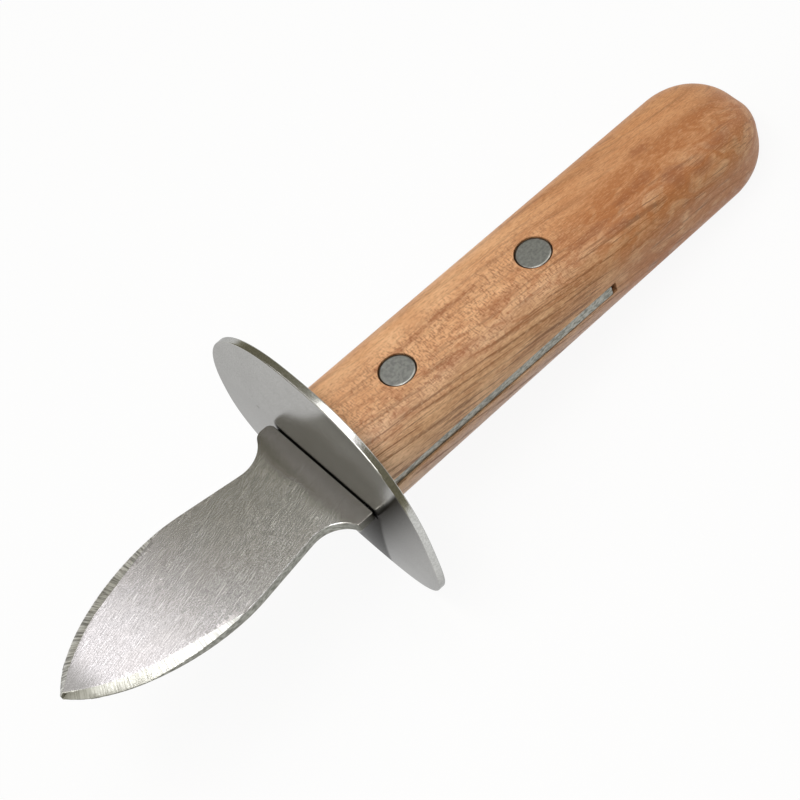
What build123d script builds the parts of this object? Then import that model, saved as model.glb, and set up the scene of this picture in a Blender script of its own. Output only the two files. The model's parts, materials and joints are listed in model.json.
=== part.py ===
from build123d import *
import os
from math import copysign, cos, degrees, pi, sin, sqrt

# Oyster knife, in millimetres. Each piece is drawn in the knife's own axes: x runs along the knife
# from the guard's front face at zero, with the tip on the minus side and the butt on the plus side,
# y runs across the blade, and z stands up from the middle of the blade's thickness. At the end all
# pieces are laid down as the knife lies on a table, on the guard's lower rim and the butt's underside.

# Blade, stamped with its tang from one steel plate and ground a little thinner than it
blade_length = 55.3
blade_thick = 1.94
belly_half_width = 11.55
neck_half_width = 9.2
shoulder_half_width = 13.25
shoulder_length = 3.2
shoulder_gap = 0.2
square_corner_radius = 0.3

# Places on the blade's outline: shares of its length from the shoulders, and of its belly's width
neck_length_share = 0.18
straight_length_share = 0.393
straight_width_share = 0.961
belly_length_share = 0.502
turn_length_share = 0.783
turn_width_share = 0.772
front_length_share = 0.8825
front_width_share = 0.5385
nib_length_share = 0.978
nib_width_share = 0.19

# The rounded shoulder's two corners, as shares of the shoulder's length
round_front_share = 0.58
round_back_share = 0.36

# Ground bevels on both faces: the flats' edges at the faces, and the wedge that they end in
bevel_start_share = 0.45
flat_start_width_share = 1.005
flat_mid_length_share = 0.655
flat_mid_width_share = 0.768
flat_turn_length_share = 0.765
flat_turn_width_share = 0.632
flat_front_length_share = 0.868
flat_front_width_share = 0.407
flat_tip_length_share = 0.992
wedge_start_width_share = 1.72
wedge_front_length_share = 0.91
wedge_front_width_share = 0.475
wedge_turn_length_share = 0.79
wedge_turn_width_share = 0.79
wedge_tip_length_share = 1.006

# Tang, a flat bar that runs into the handle and ends flush with its sides
tang_length = 54.6
tang_thick = 2.0
tang_flush_margin = 0.03

# Guard, a flat oval plate bent back a little above and below
guard_half_width = 26.8
guard_half_height = 22.2
guard_thick = 1.36
guard_bend_radius = 181.0
guard_squareness = 2.44
guard_outline_points = 32
guard_rim_radius = 0.2
guard_slot_clearance = 0.12

# Handle, one piece of wood with rounded corners, a tapering body and a domed butt
handle_length = 93.5
handle_half_width = 11.45
handle_half_height = 7.95
handle_corner_share = 0.75
handle_back_share = 0.94
handle_front_radius = 0.3
butt_length = 12.1
butt_roundness = 2.1
butt_ring_shares = (0.31, 0.59, 0.79, 0.91, 0.975, 0.996)
slot_clearance = 0.1
slot_end_gap = 1.0

# Two rivets at shares of the tang's length, each a headed sleeve and a headed stud pressed together
front_rivet_share = 0.338
back_rivet_share = 0.89
rivet_y = -0.35
head_radius = 3.2
head_thick = 1.2
head_sink = 0.18
head_edge_radius = 0.15
head_clearance = 0.1
sleeve_radius = 2.0
sleeve_clearance = 0.1
sleeve_end_gap = 0.6
stud_radius = 1.3
stud_clearance = 0.02
stud_end_gap = 0.4
bore_end_wall = 0.5

# How far a cut runs past what it cuts
overrun = 2.0


# The guard's two faces bend round one line behind it, and the handle's front corners rest on it
def guard_back_x(z):
    """Where the guard's back face is at height z."""
    return guard_bend_radius - sqrt((guard_bend_radius - guard_thick) ** 2 - z**2)


handle_front_x = guard_back_x(handle_half_height)
butt_start_x = handle_front_x + handle_length - butt_length


def handle_size(x):
    """The handle's size at x as a share of its front, along the straight taper of its body."""
    along = (x - handle_front_x) / (butt_start_x - handle_front_x)
    return 1 + (handle_back_share - 1) * along


tang_half_width = handle_half_width * handle_size(tang_length) - tang_flush_margin
front_rivet_x = front_rivet_share * tang_length
back_rivet_x = back_rivet_share * tang_length


# Blade and tang
def blade_point(length_share, width_share):
    """A point on the blade's left half, from its shares of the blade's length and belly width."""
    return (-shoulder_gap - length_share * blade_length, width_share * belly_half_width)


shoulder_x = -shoulder_gap
shoulder_front_x = shoulder_x - shoulder_length
neck = (shoulder_x - neck_length_share * blade_length, neck_half_width)
straight_start = blade_point(straight_length_share, straight_width_share)
belly = blade_point(belly_length_share, 1)
edge_turn = blade_point(turn_length_share, turn_width_share)
edge_front = blade_point(front_length_share, front_width_share)
nib = blade_point(nib_length_share, nib_width_share)
tip = blade_point(1, 0)
bevel_start = blade_point(bevel_start_share, flat_start_width_share)
wedge_start = blade_point(bevel_start_share, wedge_start_width_share)
wedge_back = (shoulder_x + overrun, wedge_start[1])
wedge_back_middle = (shoulder_x + overrun, 0)

with BuildPart() as grind:
    with BuildSketch(Plane.XY):
        with BuildLine():
            wedge_tip = blade_point(wedge_tip_length_share, 0)
            wedge_front = blade_point(wedge_front_length_share, wedge_front_width_share)
            wedge_turn = blade_point(wedge_turn_length_share, wedge_turn_width_share)
            ThreePointArc(wedge_tip, wedge_front, wedge_turn)
            Polyline(wedge_turn, wedge_start, wedge_back, wedge_back_middle, wedge_tip)
        make_face()
    with BuildSketch(Plane.XY.offset(blade_thick / 2)):
        with BuildLine():
            flat_tip = blade_point(flat_tip_length_share, 0)
            flat_front = blade_point(flat_front_length_share, flat_front_width_share)
            flat_turn = blade_point(flat_turn_length_share, flat_turn_width_share)
            flat_mid = blade_point(flat_mid_length_share, flat_mid_width_share)
            ThreePointArc(flat_tip, flat_front, flat_turn)
            ThreePointArc(flat_turn, flat_mid, bevel_start)
            Polyline(bevel_start, wedge_back, wedge_back_middle, flat_tip)
        make_face()
    loft(ruled=True)
    mirror(about=Plane.XZ)
    mirror(about=Plane.XY)

with BuildPart() as blade:
    with BuildSketch() as outline:
        with BuildLine():
            straight = Line(straight_start, neck)
            TangentArc(neck, (shoulder_front_x, shoulder_half_width), tangent=straight % 1)
            TangentArc(belly, straight_start, tangent=(1, 0))
            TangentArc(belly, edge_turn, tangent=(-1, 0))
            ThreePointArc(edge_turn, edge_front, nib)
            TangentArc(tip, nib, tangent=(0, 1))
            Polyline(
                (shoulder_front_x, shoulder_half_width),
                (shoulder_x, shoulder_half_width),
                (shoulder_x, 0),
                tip,
            )
        make_face()
        mirror(about=Plane.XZ)
        square_corners = outline.vertices().sort_by(Axis.Y)[:2]
        fillet(square_corners, radius=square_corner_radius)
        round_front_corner = outline.vertices().sort_by(Axis.Y)[-2:].sort_by(Axis.X)[0]
        fillet(round_front_corner, radius=round_front_share * shoulder_length)
        round_back_corner = outline.vertices().group_by(Axis.X)[-1].sort_by(Axis.Y)[-1]
        fillet(round_back_corner, radius=round_back_share * shoulder_length)
    extrude(amount=blade_thick / 2, both=True)
    add(grind.part, mode=Mode.INTERSECT)

    # The tang, with a hole for each rivet's sleeve
    with BuildSketch():
        with Locations(((shoulder_x + tang_length) / 2, 0)):
            Rectangle(tang_length - shoulder_x, 2 * tang_half_width)
    extrude(amount=tang_thick / 2, both=True)
    with Locations((front_rivet_x, rivet_y), (back_rivet_x, rivet_y)):
        Hole(radius=sleeve_radius + sleeve_clearance)


# Guard: the oval outline cut through a plate bent round the y axis, with a slot for the tang
def guard_point(step):
    """One of the points evenly round the guard's squared oval outline."""
    across = cos(2 * pi * step / guard_outline_points)
    up = sin(2 * pi * step / guard_outline_points)
    power = 2 / guard_squareness
    return (
        copysign(guard_half_width * abs(across) ** power, across),
        copysign(guard_half_height * abs(up) ** power, up),
    )


with BuildPart() as guard:
    with BuildSketch(Plane.XZ):
        with Locations((guard_bend_radius, 0)):
            Circle(guard_bend_radius)
            Circle(guard_bend_radius - guard_thick, mode=Mode.SUBTRACT)
    extrude(amount=guard_half_width + overrun, both=True)
    with BuildSketch(Plane.YZ):
        with BuildLine():
            Spline([guard_point(step) for step in range(guard_outline_points)], periodic=True)
        make_face()
    extrude(amount=guard_half_height, both=True, mode=Mode.INTERSECT)
    fillet(guard.edges().sort_by(SortBy.LENGTH)[-3:], radius=guard_rim_radius)
    with BuildSketch(Plane.YZ):
        Rectangle(
            2 * (tang_half_width + guard_slot_clearance),
            tang_thick + 2 * guard_slot_clearance,
        )
    extrude(amount=guard_half_height, both=True, mode=Mode.SUBTRACT)


# Handle: a straight tapered body, a domed butt, a sawn slot for the tang and the rivets' holes
def handle_section(x, size):
    """The handle's rounded cross-section at x, at a share of its full size at the front."""
    with BuildSketch(Plane.YZ.offset(x)) as section:
        RectangleRounded(
            2 * handle_half_width * size,
            2 * handle_half_height * size,
            handle_corner_share * handle_half_height * size,
        )
    return section.sketch


def butt_size(share):
    """The butt's size at a share of its length, on a domed curve that closes at its end."""
    return handle_back_share * (1 - share**butt_roundness) ** (1 / butt_roundness)


def rivet_top(x):
    """The height of the handle's top face over the blade's middle, where a rivet stands at x."""
    return handle_half_height * handle_size(x)


butt_rings = [
    handle_section(butt_start_x + share * butt_length, butt_size(share))
    for share in butt_ring_shares
]
butt_base = handle_section(butt_start_x, handle_back_share)

with BuildPart() as handle:
    loft([handle_section(handle_front_x, 1), butt_base], ruled=True)
    fillet(handle.faces().sort_by(Axis.X)[0].edges(), radius=handle_front_radius)
    loft([butt_base, *butt_rings])
    with BuildSketch(Plane.XY):
        with Locations(((handle_front_x - overrun + tang_length + slot_end_gap) / 2, 0)):
            Rectangle(
                tang_length + slot_end_gap - handle_front_x + overrun,
                2 * (handle_half_width + overrun),
            )
    extrude(amount=tang_thick / 2 + slot_clearance, both=True, mode=Mode.SUBTRACT)
    for x in (front_rivet_x, back_rivet_x):
        top = rivet_top(x) + overrun
        for turn in (0, 180):
            with Locations(Location((x, rivet_y, 0), (turn, 0, 0)) * Location((0, 0, top))):
                CounterBoreHole(
                    radius=sleeve_radius + sleeve_clearance,
                    counter_bore_radius=head_radius + head_clearance,
                    counter_bore_depth=overrun + head_sink + head_thick,
                    depth=top,
                )


# Rivets: in each, a sleeve headed on the upper side and a stud headed on the lower side
def head_outer_z(x):
    """The height of a rivet head's outer face, a little below the wood."""
    return rivet_top(x) - head_sink


def make_sleeve(x):
    """The headed tube at x, bored from its open end."""
    outer = head_outer_z(x)
    tube_end = sleeve_end_gap + head_thick - outer
    with BuildPart() as sleeve:
        with BuildSketch(Plane.XY.offset(outer)):
            with Locations((x, rivet_y)):
                Circle(head_radius)
        extrude(amount=-head_thick)
        fillet(sleeve.edges().group_by(Axis.Z)[-1], radius=head_edge_radius)
        with BuildSketch(Plane.XY.offset(tube_end)):
            with Locations((x, rivet_y)):
                Circle(sleeve_radius)
        extrude(until=Until.NEXT)
        with BuildSketch(Plane.XY.offset(outer - bore_end_wall)):
            with Locations((x, rivet_y)):
                Circle(stud_radius + stud_clearance)
        extrude(amount=tube_end - outer - overrun, mode=Mode.SUBTRACT)
    return sleeve


def make_stud(x):
    """The headed pin at x, which stands in the sleeve's bore."""
    outer = head_outer_z(x)
    with BuildPart() as stud:
        with BuildSketch(Plane.XY.offset(-outer)):
            with Locations((x, rivet_y)):
                Circle(head_radius)
        extrude(amount=head_thick)
        fillet(stud.edges().group_by(Axis.Z)[0], radius=head_edge_radius)
        with BuildSketch(Plane.XY.offset(-outer)):
            with Locations((x, rivet_y)):
                Circle(stud_radius)
        extrude(amount=2 * outer - bore_end_wall - stud_end_gap)
    return stud


front_rivet_sleeve = make_sleeve(front_rivet_x)
front_rivet_stud = make_stud(front_rivet_x)
back_rivet_sleeve = make_sleeve(back_rivet_x)
back_rivet_stud = make_stud(back_rivet_x)

# Laid on a table: tilted until the guard's lower rim and the butt's underside are equally low
support_span = butt_start_x - guard_back_x(guard_half_height)
tilt = 0
for settling in range(4):
    turn = Rotation(0, tilt, 0)
    rim_height = (turn * guard.part).bounding_box().min.Z
    butt_height = (turn * handle.part).bounding_box().min.Z
    tilt += degrees((butt_height - rim_height) / support_span)

pieces = {
    "blade": blade,
    "guard": guard,
    "handle": handle,
    "front_rivet_sleeve": front_rivet_sleeve,
    "front_rivet_stud": front_rivet_stud,
    "back_rivet_sleeve": back_rivet_sleeve,
    "back_rivet_stud": back_rivet_stud,
}
for piece in pieces.values():
    piece.part.move(Rotation(0, tilt, 0))
box = Compound([piece.part for piece in pieces.values()]).bounding_box()
to_table = Location((-box.center().X, 0, -box.min.Z))

os.makedirs("parts", exist_ok=True)
for name, piece in pieces.items():
    piece.part.move(to_table)
    piece.part.label = name
    export_step(piece.part, f"parts/{name}.step")
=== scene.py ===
import bmesh
import bpy
import json
from math import atan2, cos, pi, radians, sin
from mathutils import Matrix, Quaternion, Vector


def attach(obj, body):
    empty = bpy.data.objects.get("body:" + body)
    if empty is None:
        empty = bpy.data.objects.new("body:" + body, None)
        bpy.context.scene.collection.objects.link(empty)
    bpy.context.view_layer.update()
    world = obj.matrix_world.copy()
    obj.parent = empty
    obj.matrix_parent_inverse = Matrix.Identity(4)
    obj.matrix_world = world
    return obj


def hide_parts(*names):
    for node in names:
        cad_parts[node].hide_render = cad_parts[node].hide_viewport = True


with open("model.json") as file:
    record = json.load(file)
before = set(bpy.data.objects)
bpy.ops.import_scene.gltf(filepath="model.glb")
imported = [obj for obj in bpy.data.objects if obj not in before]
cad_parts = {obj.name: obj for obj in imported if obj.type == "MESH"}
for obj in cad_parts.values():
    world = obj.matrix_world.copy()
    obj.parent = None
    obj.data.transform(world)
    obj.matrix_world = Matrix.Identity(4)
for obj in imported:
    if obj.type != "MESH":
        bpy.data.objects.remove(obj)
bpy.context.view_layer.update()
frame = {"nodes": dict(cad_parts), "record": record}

# The knife lies on a table, on its guard's lower rim and the underside of its butt, so the tip is
# raised. Its own axes follow from the blade: along runs from tip to butt with zero at the guard's
# front face, across runs over the blade, and up stands out of the blade's ground flat.
tip_reach = 0.0555
blade_half_thick = 0.00097
flat_mount = frame["record"]["mounts"][0]
knife_up = Vector(flat_mount["axis"]).normalized()
knife_along = Vector((knife_up.z, 0, -knife_up.x))
knife_across = Vector((0, 1, 0))
knife_tilt = atan2(knife_up.x, knife_up.z)
tip_along = min(vertex.co @ knife_along for vertex in frame["nodes"]["blade"].data.vertices)
middle_up = Vector(flat_mount["pos_m"]) @ knife_up - blade_half_thick
knife_origin = (tip_along + tip_reach) * knife_along + middle_up * knife_up


def at(along, across, up):
    """A place in the knife's own axes, in metres."""
    return knife_origin + along * knife_along + across * knife_across + up * knife_up


# The camera looks down on the knife from its right-hand side, turned so that the tip points to the
# lower left of the picture. Its lens is a long one, as a product photographer uses.
camera_place = at(-0.09757, -0.26986, 0.38713)
camera_aim = at(0.01719, 0.00031, 0)
camera_roll = radians(-39.13)
camera_lens = 134.66
film_width = 36
camera = bpy.data.objects.new("camera", bpy.data.cameras.new("camera"))
bpy.context.scene.collection.objects.link(camera)
camera.data.sensor_width = film_width
camera.data.lens = camera_lens
camera.location = camera_place
camera.rotation_mode = "QUATERNION"
looking = (camera_aim - camera_place).to_track_quat("-Z", "Y")
camera.rotation_quaternion = looking @ Quaternion((0, 0, 1), camera_roll)
bpy.context.scene.camera = camera


# The blade and its tang are one stamping of 2 mm stainless sheet. Its faces are ground satin with
# fine scratches slightly askew to the knife, and the leaf's two edges are ground to a blunt bevel
# on a coarser wheel. It is slid through the guard and into the handle's slot, and riveted there.
def add(tree, kind, sockets=None, **settings):
    """A new shader node. Sockets are numbers or colours, or join it to another node's output."""
    node = tree.nodes.new("ShaderNode" + kind)
    for name, value in settings.items():
        setattr(node, name, value)
    for socket, value in (sockets or {}).items():
        if isinstance(value, bpy.types.NodeSocket):
            tree.links.new(value, node.inputs[socket])
        else:
            node.inputs[socket].default_value = value
    return node


def calculate(tree, operation, *values, clamp=False):
    """One sum on shader values."""
    sockets = dict(enumerate(values))
    return add(tree, "Math", sockets, operation=operation, use_clamp=clamp).outputs[0]


def blend(tree, share, low, high):
    """Numbers blended by a share."""
    return add(tree, "Mix", {0: share, 2: low, 3: high}, data_type="FLOAT").outputs[0]


def tint(tree, share, low, high):
    """Colours blended by a share."""
    return add(tree, "Mix", {0: share, 6: low, 7: high}, data_type="RGBA").outputs[2]


def band(tree, value, low, high):
    """Zero below low and one above high, with a soft step between them."""
    sockets = {0: value, 1: low, 2: high, 3: 0.0, 4: 1.0}
    return add(tree, "MapRange", sockets, interpolation_type="SMOOTHSTEP").outputs[0]


def contrast(tree, noise):
    """Noise spread over the whole range from zero to one."""
    return band(tree, noise, 0.3, 0.7)


def times(tree, *shares):
    """A share that is full only where all of these are."""
    product = shares[0]
    for share in shares[1:]:
        product = calculate(tree, "MULTIPLY", product, share)
    return product


def sum_of_squares(tree, one, other):
    """Two distances, squared and added."""
    return calculate(tree, "ADD", calculate(tree, "POWER", one, 2), calculate(tree, "POWER", other, 2))


def reach_along(tree, place, way):
    """How far a place or a direction reaches along a given way."""
    return add(tree, "VectorMath", {0: place, 1: way}, operation="DOT_PRODUCT").outputs["Value"]


def mark(tree, tone, share, strength, colour):
    """The colour so far with another one over it."""
    return tint(tree, times(tree, share, strength), tone, colour)


def paint(red, green, blue):
    """A colour written in the 0 to 255 of a colour chart."""
    return tuple(((part / 255 + 0.055) / 1.055) ** 2.4 for part in (red, green, blue)) + (1,)


def new_material(name):
    """A material with its tree, its shader, and places along, across and up in millimetres."""
    material = bpy.data.materials.new(name)
    material.use_nodes = True
    tree = material.node_tree
    place = add(tree, "Mapping", {
        "Vector": add(tree, "TexCoord").outputs["Object"],
        "Location": knife_origin,
        "Rotation": (0, knife_tilt, 0),
        "Scale": (0.001, 0.001, 0.001),
    }, vector_type="TEXTURE").outputs[0]
    return material, tree, tree.nodes["Principled BSDF"], place


def grain(tree, place, size, detail=2, roughness=0.5, twist=0, turn=0, shift=(0, 0, 0)):
    """Noise whose spots have that size in millimetres along, across and up."""
    if turn:
        place = add(tree, "Mapping", {0: place, "Rotation": (0, 0, -turn)}).outputs[0]
    sockets = {0: place, "Location": shift, "Scale": [1 / part for part in size]}
    stretched = add(tree, "Mapping", sockets).outputs[0]
    noise = {"Vector": stretched, "Scale": 1, "Detail": detail, "Roughness": roughness}
    return add(tree, "TexNoise", {**noise, "Distortion": twist}).outputs[0]


def make_steel(tree, shader, roughness, spread=0, spread_way=None):
    """Bare metal. Its gloss spreads more one way, across the lines of a brushed finish."""
    shader.inputs["Metallic"].default_value = 1
    shader.inputs["Roughness"].default_value = roughness
    shader.inputs["Anisotropic"].default_value = spread
    if spread:
        way = add(tree, "CombineXYZ", dict(enumerate(spread_way))).outputs[0]
        tree.links.new(way, shader.inputs["Tangent"])


def colour_and_relief(tree, shader, tone, height, strength, depth):
    """A finish's colour, and its fine relief of a depth in metres."""
    tree.links.new(tone, shader.inputs["Base Color"])
    relief = add(tree, "Bump", {"Height": height, "Strength": strength, "Distance": depth}).outputs[0]
    tree.links.new(relief, shader.inputs["Normal"])
    return relief


# Places and lengths in the finishes are millimetres in the knife's own axes. A pair of places says
# where a mark begins and where it is full.
scratch_turn = radians(15.7)
grind_centre = (-29.4, -26.3)
grind_radius = 36.05
grind_middle = radians(110)
grind_opening = 4.3
other_edge_shift = 90


def round_the_leaf(tree, place):
    """Places along the leaf's edge, and out from the border between its flat and its bevel."""
    along, across, up = add(tree, "SeparateXYZ", {0: place}).outputs
    side = calculate(tree, "SUBTRACT", calculate(tree, "ABSOLUTE", across), grind_centre[1])
    ahead = calculate(tree, "SUBTRACT", along, grind_centre[0])
    turned = calculate(tree, "ARCTAN2", side, ahead)
    far = calculate(tree, "POWER", calculate(tree, "SUBTRACT", turned, grind_middle), 2)
    border = calculate(tree, "ADD", calculate(tree, "MULTIPLY", far, grind_opening), grind_radius)
    radius = calculate(tree, "SQRT", sum_of_squares(tree, side, ahead))
    reach = calculate(tree, "MULTIPLY", turned, grind_radius)
    other_edge = calculate(tree, "MULTIPLY", calculate(tree, "GREATER_THAN", across, 0), other_edge_shift)
    reach = calculate(tree, "ADD", reach, other_edge)
    outside = calculate(tree, "SUBTRACT", radius, border)
    return add(tree, "CombineXYZ", {0: reach, 1: outside, 2: up}).outputs[0], outside


guard_reflection_painted = (-5.6, -2.6)
tip_shade_painted = (-47.5, -53)
nicks_start = (-26, -29)
nick_depth = 3.2
nick_step = (-0.3, 0.1)
seam = (-0.34, -0.22)
satin, tree, shader, place = new_material("blade_satin_steel")
along, across = add(tree, "SeparateXYZ", {0: place}).outputs[:2]
across_scratches = cos(scratch_turn) * knife_across - sin(scratch_turn) * knife_along
make_steel(tree, shader, roughness=0.235, spread=0.6, spread_way=across_scratches)
scratches = grain(tree, place, (1.5, 0.18, 1), detail=1, turn=scratch_turn)
long_scratches = grain(tree, place, (4, 0.16, 1), detail=0, turn=scratch_turn, shift=(2, 9, 0))
bright_scratches = grain(tree, place, (3.5, 0.14, 1), detail=0, turn=scratch_turn, shift=(5, 1, 0))
specks = grain(tree, place, (0.26, 0.17, 1), detail=1, turn=scratch_turn, shift=(7, 3, 0))
clouds = grain(tree, place, (9, 5, 3))
streaks = blend(tree, 0.35, contrast(tree, scratches), contrast(tree, long_scratches))
lightness = blend(tree, 0.55, streaks, contrast(tree, specks))
tone = tint(tree, lightness, paint(139, 138, 136), paint(227, 226, 225))
tone = mark(tree, tone, band(tree, bright_scratches, 0.68, 0.78), 0.6, paint(250, 250, 248))
tone = mark(tree, tone, contrast(tree, clouds), 0.25, paint(186, 182, 176))
# Beside the guard the flat is painted darker: a painted reflection of the guard's front, with a cloudy
# border.
near_guard = calculate(tree, "ADD", along, calculate(tree, "MULTIPLY", clouds, 2.5))
tone = mark(tree, tone, band(tree, near_guard, *guard_reflection_painted), 0.75, paint(128, 125, 117))
round_edge, outside = round_the_leaf(tree, place)
nicks = grain(tree, round_edge, (0.36, 5, 8), detail=1)
nick_reach = calculate(tree, "MULTIPLY", calculate(tree, "SUBTRACT", nicks, 0.5), nick_depth)
reached = calculate(tree, "ADD", outside, nick_reach)
nicked = times(tree, band(tree, reached, *nick_step), band(tree, along, *nicks_start))
# The bevel's grind nicks the flat's border. The nicks are painted light on the right edge, a painted
# highlight, and dark on the left edge, painted shade.
left_edge = calculate(tree, "GREATER_THAN", across, 0)
nick_tone = tint(tree, left_edge, paint(238, 236, 236), paint(132, 130, 126))
tone = mark(tree, tone, nicked, blend(tree, left_edge, 0.8, 0.5), nick_tone)
# Towards the tip the flat is painted darker: painted shade where the highlight falls off.
tone = mark(tree, tone, band(tree, along, *tip_shade_painted), 0.8, paint(134, 134, 130))
# At the seam by the guard the flat's rounded edge is painted near black: painted shade in the gap.
tone = tint(tree, band(tree, along, *seam), tone, paint(20, 18, 16))
colour_and_relief(tree, shader, tone, blend(tree, 0.5, streaks, specks), 0.5, 0.000009)

grey_towards_tip = (-34, -44)
ground, tree, shader, place = new_material("blade_ground_bevel")
along, across = add(tree, "SeparateXYZ", {0: place}).outputs[:2]
make_steel(tree, shader, roughness=0.45)
round_edge = round_the_leaf(tree, place)[0]
wheel_marks = grain(tree, round_edge, (0.34, 5, 8), roughness=0.6)
dips = grain(tree, round_edge, (1.3, 8, 8), detail=1)
marks = band(tree, wheel_marks, 0.32, 0.66)
left_edge = calculate(tree, "GREATER_THAN", across, 0)
# The left bevel's tone is painted darker than the right one's: painted shade.
mark_tone = tint(tree, left_edge, paint(184, 184, 180), paint(152, 151, 148))
tone = tint(tree, marks, mark_tone, paint(250, 250, 248))
right_only = calculate(tree, "SUBTRACT", 0.65, left_edge, clamp=True)
tone = mark(tree, tone, band(tree, along, *grey_towards_tip), right_only, paint(184, 183, 174))
colour_and_relief(tree, shader, tone, blend(tree, 0.5, marks, dips), 0.8, 0.00005)

shade_by_guard = (-6, -1.5)
shade_ends = (1, 0)
sheared, tree, shader, place = new_material("blade_sheared_edge")
along = add(tree, "SeparateXYZ", {0: place}).outputs[0]
make_steel(tree, shader, roughness=0.36)
mottle = grain(tree, place, (0.7, 0.7, 0.35), detail=3)
tone = tint(tree, contrast(tree, mottle), paint(112, 112, 104), paint(166, 166, 158))
# Next to the guard the sheared edges are painted darker: painted shade.
by_guard = times(tree, band(tree, along, *shade_by_guard), band(tree, along, *shade_ends))
tone = mark(tree, tone, by_guard, 0.75, paint(84, 82, 76))
colour_and_relief(tree, shader, tone, mottle, 0.6, 0.00006)

# The shoulder's end faces at the guard are near black: painted shade in the gap of the seam.
seam_painted_shade, tree, shader, place = new_material("seam_painted_shade")
seam_shade_mottle = grain(tree, place, (0.3, 0.3, 0.3))
tree.links.new(tint(tree, seam_shade_mottle, paint(18, 16, 14), paint(38, 36, 32)), shader.inputs["Base Color"])
shader.inputs["Roughness"].default_value = 0.8

edge_round = 0.00012
grind_end = -0.0275
keep_sharp_from = -0.0003
merge_reach = 1e-6
level_within = radians(0.2)
sharp_over = radians(50)
smooth_under = radians(20)


def plate_copy(name, node, round_edges):
    """A copy of a CAD plate with its loose triangles merged and its sharp edges rounded."""
    piece = bpy.data.objects.new(name, frame["nodes"][node].data.copy())
    bpy.context.scene.collection.objects.link(piece)
    bpy.ops.object.select_all(action="DESELECT")
    bpy.context.view_layer.objects.active = piece
    piece.select_set(True)
    piece.data.materials.clear()
    bpy.ops.object.mode_set(mode="EDIT")
    bpy.ops.mesh.select_all(action="SELECT")
    bpy.ops.mesh.customdata_custom_splitnormals_clear()
    bpy.ops.mesh.remove_doubles(threshold=merge_reach)
    bpy.ops.mesh.dissolve_limited(angle_limit=level_within)
    bpy.ops.mesh.select_all(action="DESELECT")
    bpy.ops.mesh.select_mode(type="EDGE")
    bpy.ops.mesh.edges_select_sharp(sharpness=sharp_over)
    bpy.ops.object.mode_set(mode="OBJECT")
    for face in piece.data.polygons:
        face.select = False
    for edge in piece.data.edges:
        ends = [(piece.data.vertices[index].co - knife_origin) @ knife_along for index in edge.vertices]
        if min(ends) > keep_sharp_from:
            edge.select = False
    bpy.ops.object.mode_set(mode="EDIT")
    bpy.ops.mesh.bevel(offset=round_edges, segments=2, affect="EDGES")
    bpy.ops.object.mode_set(mode="OBJECT")
    return piece


# How far a face looks up or along, as a share: the flat, the ground bevel, the rounding behind it
# and the upright faces at the seam.
flat_lean = 0.9998
bevel_lean = 0.6
least_round_lean = 0.3
most_round_lean = 0.95
seam_lean = 0.9
blade = plate_copy("ground_blade", "blade", edge_round)
for material in (satin, ground, sheared, seam_painted_shade):
    blade.data.materials.append(material)
for face in blade.data.polygons:
    lean = abs(face.normal @ knife_up)
    along = (face.center - knife_origin) @ knife_along
    rounded = least_round_lean < lean < most_round_lean and along > grind_end
    if lean > flat_lean or rounded:
        face.material_index = 0
    elif lean > bevel_lean and along < grind_end:
        face.material_index = 1
    elif abs(face.normal @ knife_along) > seam_lean and keep_sharp_from < along < 0:
        face.material_index = 3
    else:
        face.material_index = 2


def smooth_between_finishes(piece, angle):
    """Smooth shading, broken at sharp edges and where two finishes meet."""
    shape = bmesh.new()
    shape.from_mesh(piece.data)
    for face in shape.faces:
        face.smooth = True
    for edge in shape.edges:
        finishes = {face.material_index for face in edge.link_faces}
        edge.smooth = len(finishes) == 1 and edge.calc_face_angle(0) < angle
    shape.to_mesh(piece.data)
    shape.free()


smooth_between_finishes(blade, smooth_under)
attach(blade, "root")
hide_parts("blade")

# The guard is a squared oval of 1.4 mm stainless sheet, stamped with a slot for the tang and bent
# back a little above and below. Its front is half bright, as rolled, with a rubbed rim. It is held
# between the blade's shoulders and the handle's front end.
dent_place = (0, 15.7, 3.1)
dent_edge = (0.5, 0.2)
beside_shoulder = (0, -0.844, -0.539)
shoulder_reach = 11.2
shadow_fades = (13, -1)
shadow_starts = (-0.5, 0.5)
darkest = (8, 0)
shade_lean = -0.31
shade_width = (15.3, 14.1)
shade_top = (0.5, 0)
shade_side = (3, -5)
slot_shadow_height = (1.3, 1.12)
slot_left_end = (11.4, 11)
slot_right_end = (-13.7, -13.3)
guard_face, tree, shader, place = new_material("guard_rolled_steel")
across, up = add(tree, "SeparateXYZ", {0: place}).outputs[1:]
make_steel(tree, shader, roughness=0.2)
rolled = grain(tree, place, (0.4, 0.22, 0.22), detail=3)
clouds = grain(tree, place, (3, 6, 4))
lightness = blend(tree, 0.4, contrast(tree, rolled), clouds)
tone = tint(tree, lightness, paint(174, 173, 170), paint(204, 203, 200))
# A small dent is painted as a darker spot: painted shade, with no relief of its own.
dent = add(tree, "VectorMath", {0: place, 1: dent_place}, operation="DISTANCE").outputs["Value"]
tone = mark(tree, tone, band(tree, dent, *dent_edge), 0.5, paint(112, 110, 104))
outward = reach_along(tree, add(tree, "TexCoord").outputs["Normal"], knife_along)
front = band(tree, outward, -0.5, -0.8)
beside = calculate(tree, "SUBTRACT", reach_along(tree, place, beside_shoulder), shoulder_reach)
shadow_beside = times(tree, band(tree, beside, *shadow_fades), band(tree, beside, *shadow_starts), front)
wide = calculate(tree, "ABSOLUTE", across)
narrowed = calculate(tree, "ADD", wide, calculate(tree, "MULTIPLY", up, shade_lean))
below = times(tree, band(tree, narrowed, *shade_width), band(tree, up, *shade_top))
below = times(tree, below, times(tree, band(tree, across, *shade_side), front))
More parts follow.
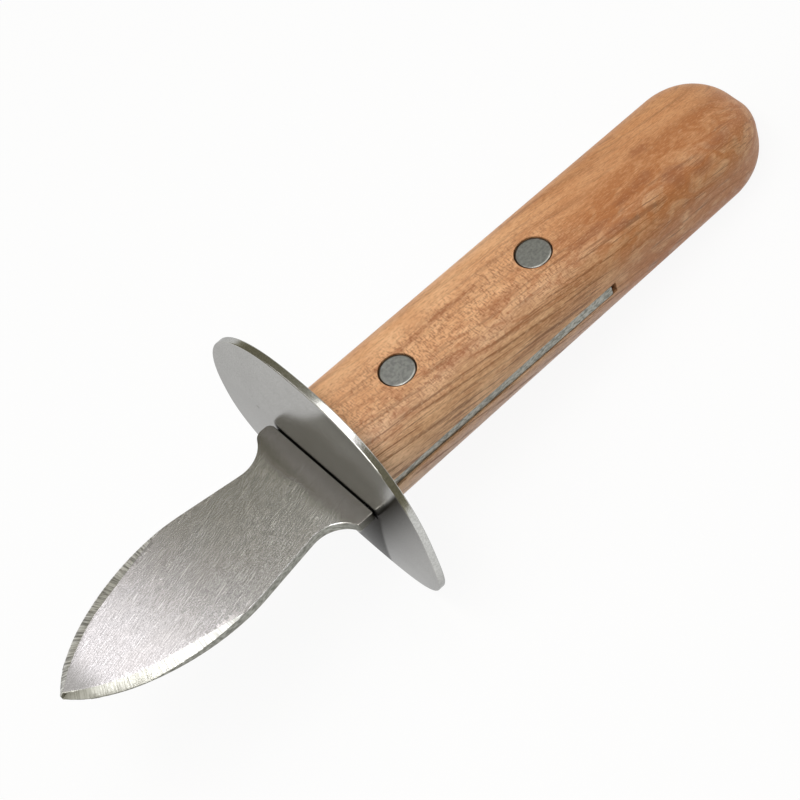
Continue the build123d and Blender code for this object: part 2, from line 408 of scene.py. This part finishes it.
# Beside and below the right shoulder the front is painted dark: a painted reflection of the shadow under the
# blade.
for shaded in (shadow_beside, below):
    tone = mark(tree, tone, shaded, 0.92, paint(56, 52, 46))
dark = calculate(tree, "MAXIMUM", below, times(tree, shadow_beside, band(tree, beside, *darkest)))
rim = band(tree, calculate(tree, "ABSOLUTE", outward), 0.8, 0.4)
rim_tone = tint(tree, contrast(tree, rolled), paint(184, 184, 181), paint(206, 206, 203))
tone = tint(tree, rim, tone, rim_tone)
# Along the slot's edges the front is painted near black: painted shade in the gap around the tang.
slot_ends = times(tree, band(tree, across, *slot_left_end), band(tree, across, *slot_right_end))
at_slot = times(tree, band(tree, calculate(tree, "ABSOLUTE", up), *slot_shadow_height), slot_ends)
tone = mark(tree, tone, at_slot, 0.95, paint(24, 22, 20))
# Where that shadow and the shade at the slot are painted, the glancing gloss is dimmed too.
edge_tone = tint(tree, dark, (0.6, 0.6, 0.6, 1), (0.3, 0.3, 0.3, 1))
edge_tone = tint(tree, at_slot, edge_tone, (0.03, 0.03, 0.03, 1))
tree.links.new(edge_tone, shader.inputs["Specular Tint"])
colour_and_relief(tree, shader, tone, rolled, 0.25, 0.00002)
guard = frame["nodes"]["guard"]
guard.data.materials.clear()
guard.data.materials.append(guard_face)

# The handle is one block of light orange-brown hardwood, sawn to a squared oval that narrows a
# little to the back, with a domed butt. It is slotted from the front for the tang, drilled and
# counterbored for two rivets, sanded, and given a thin clear finish.
growth_way = (0.096, 0.766, 0.636)
layer_way = (0, -0.64, 0.77)
wood, tree, shader, place = new_material("handle_hardwood")
shader.inputs["Roughness"].default_value = 0.5
along, across, up = add(tree, "SeparateXYZ", {0: place}).outputs

# The grain lines are thin along the way of growth and broad along the layers.
waves = grain(tree, place, (40, 10, 10))
growth = reach_along(tree, place, growth_way)
growth = calculate(tree, "ADD", growth, calculate(tree, "MULTIPLY", waves, 3))
layer = reach_along(tree, place, layer_way)
figure = add(tree, "CombineXYZ", {0: along, 1: growth, 2: layer}).outputs[0]
fine_lines = grain(tree, figure, (9, 0.2, 1.5))
lines = grain(tree, figure, (18, 0.5, 4))
bands = grain(tree, figure, (34, 1.7, 8))
ticks = grain(tree, place, (0.22, 0.9, 0.9), detail=1)
flecks = grain(tree, place, (0.9, 0.22, 0.22), roughness=0.7)
mottle = grain(tree, place, (6, 2.4, 2.4), detail=3)
swirl = grain(tree, place, (4, 2.4, 2.4), detail=3, twist=1.2)
right_side = band(tree, across, -1, -9)
light_wood = tint(tree, contrast(tree, mottle), paint(219, 162, 116), paint(236, 184, 138))
side_wood = tint(tree, contrast(tree, mottle), paint(196, 150, 110), paint(222, 178, 138))
tone = tint(tree, right_side, light_wood, side_wood)
# Below the slot on the right side the wood is painted paler and pinker: painted light reflected from the
# white table.
under_slot = times(tree, band(tree, up, -0.5, -3), right_side)
tone = tint(tree, under_slot, tone, paint(200, 168, 152))
to_butt = band(tree, along, 38, 62)
tone = mark(tree, tone, to_butt, blend(tree, right_side, 0.5, 0.2), paint(190, 121, 66))
# Near the guard the right side is painted lighter: painted light.
by_guard = times(tree, band(tree, along, 16, 5), right_side)
tone = mark(tree, tone, by_guard, 0.5, paint(240, 206, 174))
line_strength = blend(tree, right_side, 0.26, 0.8)
tone = mark(tree, tone, band(tree, bands, 0.5, 0.3), 0.5, paint(172, 114, 72))
tone = mark(tree, tone, band(tree, lines, 0.46, 0.34), line_strength, paint(128, 84, 54))
tone = mark(tree, tone, band(tree, fine_lines, 0.44, 0.28), line_strength, paint(112, 72, 46))
front_half = band(tree, along, 62, 46)
middle = times(tree, band(tree, across, 7, 2), band(tree, across, -11, -6))
tick_patch = times(tree, front_half, middle, band(tree, mottle, 0.3, 0.5))
tick_share = times(tree, band(tree, ticks, 0.5, 0.36), tick_patch)
tone = mark(tree, tone, tick_share, 0.7, paint(150, 92, 56))
low_middle = times(tree, band(tree, across, 1, -3), band(tree, across, -11, -7))
red_patch = times(tree, low_middle, band(tree, swirl, 0.5, 0.62))
tone = mark(tree, tone, red_patch, 0.4, paint(170, 98, 52))
back_half = times(tree, band(tree, along, 50, 62), band(tree, across, 3, -1))
back_patch = times(tree, back_half, band(tree, swirl, 0.3, 0.6))
tone = mark(tree, tone, back_patch, 0.75, paint(178, 110, 58))

# Darker blotches of the upper side: their places along and across, their lengths and their widths.
blotches = (
    (74.4, -7.4, 2, 2.2), (84.2, -7.4, 2.6, 1), (79, -8.6, 2, 0.9), (74.4, 1.5, 2.6, 0.8),
    (66.3, -4, 3, 1), (60.9, -7.2, 2.6, 0.7), (70.5, -3.5, 2.4, 1.2), (27, 2.4, 12, 0.5),
    (38, -3.6, 4, 1.2), (26, -6, 4, 0.7), (57, -5, 6, 0.9),
)
for blotch_along, blotch_across, length, width in blotches:
    off_along = calculate(tree, "DIVIDE", calculate(tree, "SUBTRACT", along, blotch_along), length)
    off_across = calculate(tree, "DIVIDE", calculate(tree, "SUBTRACT", across, blotch_across), width)
    off = sum_of_squares(tree, off_along, off_across)
    off = calculate(tree, "ADD", off, calculate(tree, "MULTIPLY", swirl, 5))
    on_top = times(tree, band(tree, off, 4.4, 2.2), band(tree, up, 0, 3))
    tone = mark(tree, tone, on_top, 0.6, paint(146, 78, 34))
tone = mark(tree, tone, band(tree, flecks, 0.5, 0.3), 0.5, paint(156, 102, 66))
fleck_strength = blend(tree, front_half, 0.2, 0.4)
tone = mark(tree, tone, band(tree, flecks, 0.5, 0.7), fleck_strength, paint(246, 204, 160))
height = blend(tree, 0.5, fine_lines, blend(tree, 0.5, flecks, ticks))
colour_and_relief(tree, shader, tone, height, 0.5, 0.00005)
handle = frame["nodes"]["handle"]
handle.data.materials.clear()
handle.data.materials.append(wood)

# Each rivet is a headed sleeve with a headed stud pressed into it, turned from dull aluminium. The
# heads lie in counterbores, level with the wood.
rivet_centres = (18.45, 48.6)
rivet_across = -0.35
rivet_radius = 3.2
ring_from = rivet_radius - 0.35
highlight_inside = (rivet_radius - 0.6, rivet_radius - 0.4)
highlight_outside = (rivet_radius - 0.05, rivet_radius - 0.25)
highlight_side = (-1.6, -2.7)
rivet, tree, shader, place = new_material("rivet_turned_metal")
make_steel(tree, shader, roughness=0.4)
along, across = add(tree, "SeparateXYZ", {0: place}).outputs[:2]
mottle = grain(tree, place, (0.5, 0.5, 0.5), detail=4)
tone = tint(tree, contrast(tree, mottle), paint(146, 148, 147), paint(172, 174, 173))
from_front = calculate(tree, "ABSOLUTE", calculate(tree, "SUBTRACT", along, rivet_centres[0]))
from_back = calculate(tree, "ABSOLUTE", calculate(tree, "SUBTRACT", along, rivet_centres[1]))
off_along = calculate(tree, "MINIMUM", from_front, from_back)
off_across = calculate(tree, "SUBTRACT", across, rivet_across)
off = calculate(tree, "SQRT", sum_of_squares(tree, off_along, off_across))
# Round each head's turned-down edge a dark ring is painted: painted shade.
shaded_turned_edge = band(tree, off, ring_from, rivet_radius)
tone = tint(tree, shaded_turned_edge, tone, paint(84, 80, 76))
# On one side of each head a light crescent is painted: a painted highlight on its edge.
painted_highlight = times(tree, band(tree, off, *highlight_inside), band(tree, off_across, *highlight_side))
painted_highlight = times(tree, painted_highlight, band(tree, off, *highlight_outside))
tone = tint(tree, painted_highlight, tone, paint(236, 238, 238))
relief = colour_and_relief(tree, shader, tone, mottle, 0.3, 0.00004)
level = calculate(tree, "SUBTRACT", 1, shaded_turned_edge)
edge = add(tree, "Bump", {"Height": level, "Strength": 1, "Distance": 0.0003, "Normal": relief})
tree.links.new(edge.outputs[0], shader.inputs["Normal"])
for name in ("front_rivet_sleeve", "front_rivet_stud", "back_rivet_sleeve", "back_rivet_stud"):
    frame["nodes"][name].data.materials.clear()
    frame["nodes"][name].data.materials.append(rivet)


# The studio is a white table in a dim, warm room. Four soft boxes hang over the knife: a narrow
# one beyond the blade's left edge, one beyond the tip, a bright one to the right of the tip and
# one over the handle. Two broad ones stand far off at both ends.
def soft_box(name, place, aim, width, depth, glow, depth_way=knife_up, colour=(1, 1, 1)):
    """A soft light with an even glow, where a glow of 1 is white, hidden from the camera."""
    light = bpy.data.objects.new(name, bpy.data.lights.new(name, "AREA"))
    bpy.context.scene.collection.objects.link(light)
    light.data.shape = "RECTANGLE"
    light.data.size = width
    light.data.size_y = depth
    light.data.energy = glow * pi * width * depth
    light.data.color = colour
    light.location = place
    back = (place - aim).normalized()
    side = depth_way.cross(back).normalized()
    light.rotation_euler = Matrix((side, back.cross(side), back)).transposed().to_euler()
    light.visible_camera = False


box_way = 0.203 * knife_along - 0.979 * knife_across
cool_white = (1, 0.97, 1.05)
soft_box("over_blade", at(0.004, 0.0946, 0.25), at(0.004, 0.0946, 0), 0.030, 0.32, 2.45, box_way, cool_white)
soft_box("over_tip", at(-0.09, 0.17, 0.25), at(-0.09, 0.17, 0), 0.08, 0.26, 0.95, box_way)
soft_box("overhead", at(-0.10, -0.10, 0.36), at(-0.10, -0.10, 0), 0.08, 0.36, 8.3, knife_across)
soft_box("over_handle", at(0.085, 0.075, 0.40), at(0.085, 0.075, 0), 0.07, 0.20, 3.9, knife_across)
soft_box("far_left", at(-0.58, 0.12, 0.38), at(0, 0, 0), 0.5, 0.5, 1.2)
soft_box("far_right", at(0.55, 0.05, 0.40), at(0, 0, 0), 0.5, 0.5, 1.2)

horizon_glow = 0.34
ceiling_glow = 0.18
world = bpy.data.worlds.new("studio")
bpy.context.scene.world = world
world.use_nodes = True
sky = world.node_tree
height = add(sky, "SeparateXYZ", {0: add(sky, "TexCoord").outputs["Generated"]}).outputs[2]
room_glow = blend(sky, band(sky, height, 0.02, 0.16), horizon_glow, ceiling_glow)
sky.links.new(room_glow, sky.nodes["Background"].inputs["Strength"])
sky.nodes["Background"].inputs["Color"].default_value = (1, 0.93, 0.62, 1)
bpy.context.scene.view_settings.view_transform = "Standard"

table_size = 6
table_drop = 0.0001
table_seen = 0.92
bpy.ops.object.select_all(action="DESELECT")
bpy.ops.mesh.primitive_plane_add(size=table_size, location=(0, 0, -table_drop))
table = bpy.context.object
table.name = "table"
table_white, tree, shader = new_material("table_white")[:3]
shader.inputs["Base Color"].default_value = (0.88, 0.88, 0.88, 1)
shader.inputs["Roughness"].default_value = 0.8
path = add(tree, "LightPath").outputs
glow = add(tree, "Emission", {"Color": (1, 1, 1, 1), "Strength": 1})
seen = calculate(tree, "ADD", path["Is Camera Ray"], path["Is Glossy Ray"])
seen = calculate(tree, "ADD", seen, path["Is Transmission Ray"], clamp=True)
share = times(tree, seen, table_seen)
mixed = add(tree, "MixShader", {0: share, 1: shader.outputs[0], 2: glow.outputs[0]})
tree.links.new(mixed.outputs[0], tree.nodes["Material Output"].inputs["Surface"])
table.data.materials.append(table_white)
